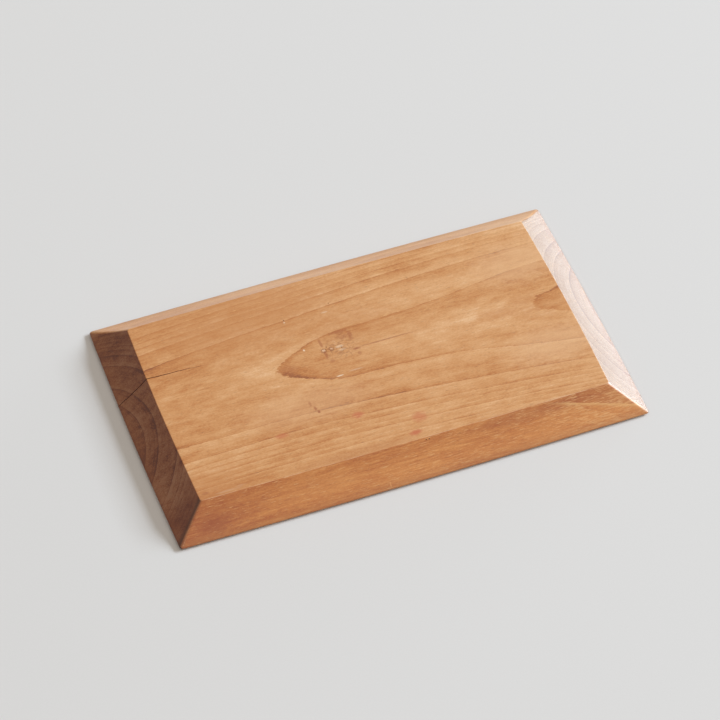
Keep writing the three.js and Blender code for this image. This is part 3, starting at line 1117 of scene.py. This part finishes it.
# Azimuth from +X towards +Y, spread, lower edge and upper edge in degrees, brightness and colour
WINDOWS = {
    "window_high": (3, 34, 28, 32.5, 46, DAYLIGHT),
    "window_low": (3, 34, 19, 28, 19, DAYLIGHT),
    "window_far": (28, 32, 0.3, 5, 24, HORIZON),
}
SKY_AZIMUTH = math.radians(-40)
SKY_ELEVATION = math.radians(70)
SKY_STRENGTH = 0.66
SKY_POWER = 1.5
SKY_COLOUR = (1.11, 1.0, 0.89, 1)


def direction(azimuth, elevation):
    """The way towards an azimuth and elevation in radians."""
    flat = math.cos(elevation)
    return Vector((flat * math.cos(azimuth), flat * math.sin(azimuth), math.sin(elevation)))


def floor():
    """A wide sheet of pale paper, clear from below."""
    half = FLOOR_REACH
    corners = [(-half, -half, 0), (half, -half, 0), (half, half, 0), (-half, half, 0)]
    piece = new_piece("floor", corners, [(0, 1, 2, 3)])
    paper_finish = bpy.data.materials.new("floor_paper")
    g = Graph(paper_finish)
    place = g.node("ShaderNodeTexCoord").outputs["Object"]
    mottle = g.noise(g.vector("MULTIPLY", place, FLOOR_NOISE), *EVEN)
    colour = g.mix(mottle, FLOOR_DARK, FLOOR_LIGHT)
    paper = g.node("ShaderNodeBsdfPrincipled", {"Base Color": colour, **FLOOR_FINISH})
    clear = g.node("ShaderNodeBsdfTransparent")
    back = g.node("ShaderNodeNewGeometry").outputs["Backfacing"]
    shader = g.node("ShaderNodeMixShader", {0: back, 1: paper.outputs[0], 2: clear.outputs[0]})
    g.node("ShaderNodeOutputMaterial", {"Surface": shader.outputs[0]})
    piece.data.materials.append(paper_finish)


def window(name, azimuth, spread, low, high, brightness, colour):
    """A soft upright panel of light between two elevations."""
    bottom = WINDOW_DISTANCE * math.tan(math.radians(low))
    top = WINDOW_DISTANCE * math.tan(math.radians(high))
    lamp = bpy.data.lights.new(name, "AREA")
    lamp.shape = "RECTANGLE"
    lamp.size = 2 * WINDOW_DISTANCE * math.tan(math.radians(spread / 2))
    lamp.size_y = top - bottom
    lamp.energy = math.pi * lamp.size * lamp.size_y * brightness
    lamp.color = colour
    panel = bpy.data.objects.new(name, lamp)
    away = direction(math.radians(azimuth), 0)
    panel.location = away * WINDOW_DISTANCE + Vector((0, 0, (bottom + top) / 2))
    panel.rotation_mode = "QUATERNION"
    panel.rotation_quaternion = away.to_track_quat("Z", "Y")
    bpy.context.scene.collection.objects.link(panel)


def sky():
    """Soft light from all round, a little stronger from above."""
    world = bpy.data.worlds.new("studio")
    bpy.context.scene.world = world
    g = Graph(world)
    ray = g.node("ShaderNodeTexCoord").outputs["Generated"]
    towards = g.vector("DOT_PRODUCT", ray, direction(SKY_AZIMUTH, SKY_ELEVATION))
    share = g.math("POWER", g.range(towards, -1, 1, kind="LINEAR"), SKY_POWER)
    strength = g.math("MULTIPLY", share, SKY_STRENGTH)
    light = g.node("ShaderNodeBackground", {"Color": SKY_COLOUR, "Strength": strength})
    g.node("ShaderNodeOutputWorld", {"Surface": light.outputs[0]})


def camera():
    """The view of the photograph."""
    lens = bpy.data.cameras.new("camera")
    lens.lens = VIEW_LENS
    lens.sensor_width = VIEW_SENSOR
    lens.clip_end = 2 * FLOOR_REACH
    eye = bpy.data.objects.new("camera", lens)
    back = direction(VIEW_AZIMUTH - math.pi / 2, VIEW_ELEVATION)
    eye.location = VIEW_AIM + back * VIEW_DISTANCE
    eye.rotation_mode = "QUATERNION"
    eye.rotation_quaternion = (-back).to_track_quat("-Z", "Y")
    bpy.context.scene.collection.objects.link(eye)
    bpy.context.scene.camera = eye


# Assembly

def dress(piece, node, slot):
    """Gives a piece its finish and its place in the frame."""
    piece.data.materials.clear()
    piece.data.materials.append(FINISHES[slot])
    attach(piece, "root")
    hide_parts(node)


FINISHES = {
    "plank_wood": plank_wood(),
    "foot_rubber": foot_rubber(),
    "fastener_steel": fastener_steel(),
}
dress(plank(), "board", "plank_wood")
for foot in FEET:
    dress(rubber_foot(foot), "foot_" + foot, "foot_rubber")
    dress(steel_washer(foot), "foot_washer_" + foot, "fastener_steel")
    dress(pan_screw(foot), "foot_screw_" + foot, "fastener_steel")

floor()
for name, panel in WINDOWS.items():
    window(name, *panel)
sky()
camera()
bpy.context.scene.view_settings.view_transform = "Standard"
